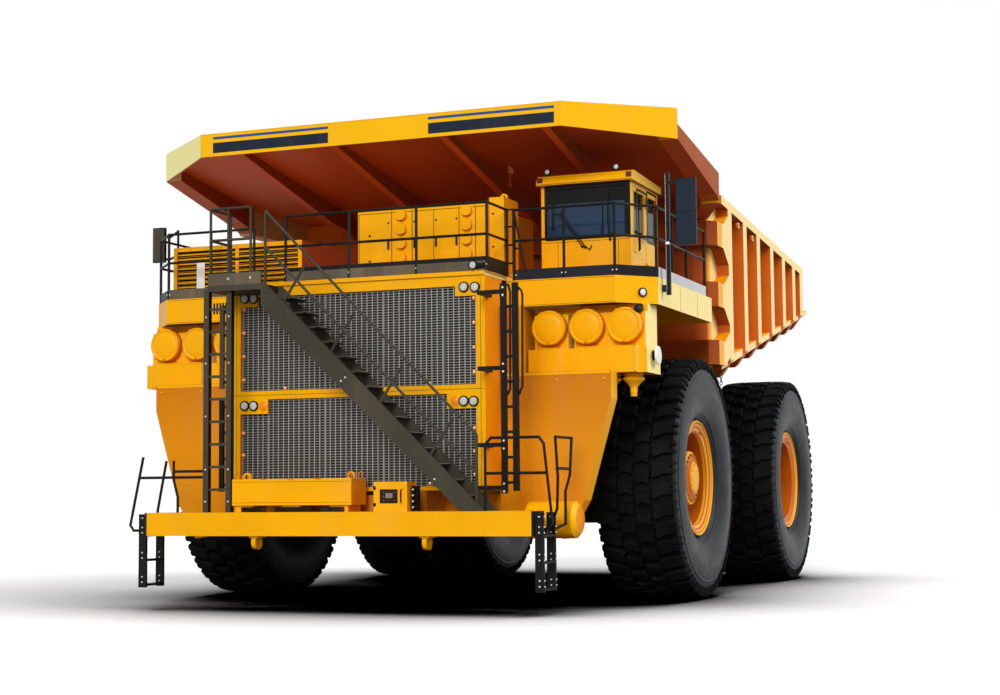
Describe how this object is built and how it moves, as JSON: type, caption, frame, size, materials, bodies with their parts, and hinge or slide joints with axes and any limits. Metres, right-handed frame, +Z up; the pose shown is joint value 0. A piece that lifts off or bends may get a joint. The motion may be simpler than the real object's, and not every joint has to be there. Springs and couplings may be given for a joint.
{
  "type": "mining dump truck",
  "caption": "Rigid mining dump truck with a tipping ribbed body and canopy, steered front wheels, paired rear wheels, side cab, decks and a slanted front stair.",
  "frame": {"origin": "on the ground under the middle of the truck's plan", "axes": "-Y ahead, +X towards the truck's left (cab) side, +Z up"},
  "size_m": [9.74, 14.09, 7.547],
  "materials": {
    "tyre": "matt",
    "wheel_paint": "satin",
    "chassis_paint": "gloss",
    "door_paint": "gloss",
    "rail_paint": "satin",
    "body_paint": "satin",
    "machine_grey": "satin",
    "cylinder_paint": "satin",
    "rod_chrome": "polished",
    "core_metal": "matt",
    "grille_metal": "satin",
    "stair_metal": "matt",
    "mirror_housing": "satin",
    "lamp_glass": "gloss",
    "window_glass": "gloss",
    "cab_trim": "matt"
  },
  "bodies": {
    "chassis": {"frame": "chassis_paint", "rear_axle": "machine_grey", "front_struts": "cylinder_paint", "rear_struts": "cylinder_paint", "engine_block": "machine_grey", "radiator_housing": "chassis_paint", "radiator_cores": "core_metal", "grilles": "grille_metal", "bumper": "chassis_paint", "bumper_boxes": "chassis_paint", "boarding_ladders": "rail_paint", "decks": "chassis_paint", "deck_rails": "rail_paint", "stair": "stair_metal", "pipe_frame": "rail_paint", "front_uprights": "chassis_paint", "air_cleaners": "chassis_paint", "mirrors": "mirror_housing", "cabinets": "chassis_paint", "lamps": "lamp_glass", "grid_box": "chassis_paint", "tanks": "chassis_paint", "cab_shell": "chassis_paint", "cab_roof": "chassis_paint", "cab_windows": "window_glass", "cab_interior": "cab_trim"},
    "front_wheel_left": {"front_tyre_left": "tyre", "front_wheel_left": "wheel_paint"},
    "rear_wheels_left": {"rear_tyres_left": "tyre", "rear_wheel_left": "wheel_paint"},
    "knuckle_left": {"knuckle_left": "machine_grey"},
    "steering_barrel_left": {"steering_barrel_left": "cylinder_paint"},
    "steering_rod_left": {"steering_rod_left": "rod_chrome"},
    "front_wheel_right": {"front_tyre_right": "tyre", "front_wheel_right": "wheel_paint"},
    "rear_wheels_right": {"rear_tyres_right": "tyre", "rear_wheel_right": "wheel_paint"},
    "knuckle_right": {"knuckle_right": "machine_grey"},
    "steering_barrel_right": {"steering_barrel_right": "cylinder_paint"},
    "steering_rod_right": {"steering_rod_right": "rod_chrome"},
    "tie_rod": {"tie_rod": "machine_grey"},
    "dump_body": {"body_floor": "body_paint", "body_front_wall": "body_paint", "body_sides": "body_paint", "canopy": "body_paint"},
    "hoist_barrels": {"hoist_barrels": "cylinder_paint"},
    "hoist_stages": {"hoist_stages": "cylinder_paint"},
    "hoist_rods": {"hoist_rods": "rod_chrome"},
    "cab_door": {"cab_door": "door_paint", "door_glass": "window_glass"}
  },
  "joints": [
    {"name": "steer_left", "type": "hinge", "parent": "chassis", "child": "knuckle_left", "pos_m": [2.45, -2.305, 1.93], "axis": [0, 0, 1], "range_deg": [-35, 35]},
    {"name": "front_wheel_spin_left", "type": "hinge", "parent": "knuckle_left", "child": "front_wheel_left", "pos_m": [3.7, -2.305, 1.93], "axis": [1, 0, 0], "continuous": true},
    {"name": "rear_wheel_spin_left", "type": "hinge", "parent": "chassis", "child": "rear_wheels_left", "pos_m": [3.75, 4.22, 1.93], "axis": [1, 0, 0], "continuous": true},
    {"name": "steering_barrel_swing_left", "type": "hinge", "parent": "chassis", "child": "steering_barrel_left", "pos_m": [0.85, -2.755, 1.279], "axis": [0, 0, 1], "range_deg": [-1, 1]},
    {"name": "steering_rod_slide_left", "type": "slide", "parent": "steering_barrel_left", "child": "steering_rod_left", "axis": [0.9864, -0.1644, 0], "range_m": [-0.41, 0.41]},
    {"name": "steer_right", "type": "hinge", "parent": "chassis", "child": "knuckle_right", "pos_m": [-2.45, -2.305, 1.93], "axis": [0, 0, 1], "range_deg": [-35, 35]},
    {"name": "front_wheel_spin_right", "type": "hinge", "parent": "knuckle_right", "child": "front_wheel_right", "pos_m": [-3.7, -2.305, 1.93], "axis": [1, 0, 0], "continuous": true},
    {"name": "rear_wheel_spin_right", "type": "hinge", "parent": "chassis", "child": "rear_wheels_right", "pos_m": [-3.75, 4.22, 1.93], "axis": [1, 0, 0], "continuous": true},
    {"name": "steering_barrel_swing_right", "type": "hinge", "parent": "chassis", "child": "steering_barrel_right", "pos_m": [-0.85, -2.755, 1.279], "axis": [0, 0, 1], "range_deg": [-1, 1]},
    {"name": "steering_rod_slide_right", "type": "slide", "parent": "steering_barrel_right", "child": "steering_rod_right", "axis": [-0.9864, -0.1644, 0], "range_m": [-0.41, 0.41]},
    {"name": "tie_rod_swing", "type": "hinge", "parent": "knuckle_left", "child": "tie_rod", "pos_m": [2.45, -1.455, 1.31], "axis": [0, 0, 1], "range_deg": [-35, 35]},
    {"name": "body_tip", "type": "hinge", "parent": "chassis", "child": "dump_body", "pos_m": [0, 5.86, 3.9], "axis": [-1, 0, 0], "range_deg": [0, 45]},
    {"name": "hoist_swing", "type": "hinge", "parent": "chassis", "child": "hoist_barrels", "pos_m": [0, 1.595, 1.56], "axis": [1, 0, 0], "range_deg": [-23, 0]},
    {"name": "hoist_stage_slide", "type": "slide", "parent": "hoist_barrels", "child": "hoist_stages", "axis": [0, -0.2545, 0.9671], "range_m": [0, 1.74]},
    {"name": "hoist_rod_slide", "type": "slide", "parent": "hoist_stages", "child": "hoist_rods", "axis": [0, -0.2545, 0.9671], "range_m": [0, 1.74]},
    {"name": "cab_door_swing", "type": "hinge", "parent": "chassis", "child": "cab_door", "pos_m": [3.82, -3.689, 5.7], "axis": [0, 0, 1], "range_deg": [0, 40]}
  ],
  "couplings": [
    {"joint": "steer_right", "follows": "steer_left", "ratio": 1},
    {"joint": "tie_rod_swing", "follows": "steer_left", "ratio": -1},
    {"joint": "steering_barrel_swing_left", "follows": "steer_left", "ratio": 0.0102},
    {"joint": "steering_rod_slide_left", "follows": "steer_left", "m_per_rad": 0.6664},
    {"joint": "steering_barrel_swing_right", "follows": "steer_left", "ratio": 0.0102},
    {"joint": "steering_rod_slide_right", "follows": "steer_left", "m_per_rad": -0.6664},
    {"joint": "hoist_swing", "follows": "body_tip", "ratio": -0.5},
    {"joint": "hoist_stage_slide", "follows": "body_tip", "m_per_rad": 2.21},
    {"joint": "hoist_rod_slide", "follows": "body_tip", "m_per_rad": 2.21}
  ]
}
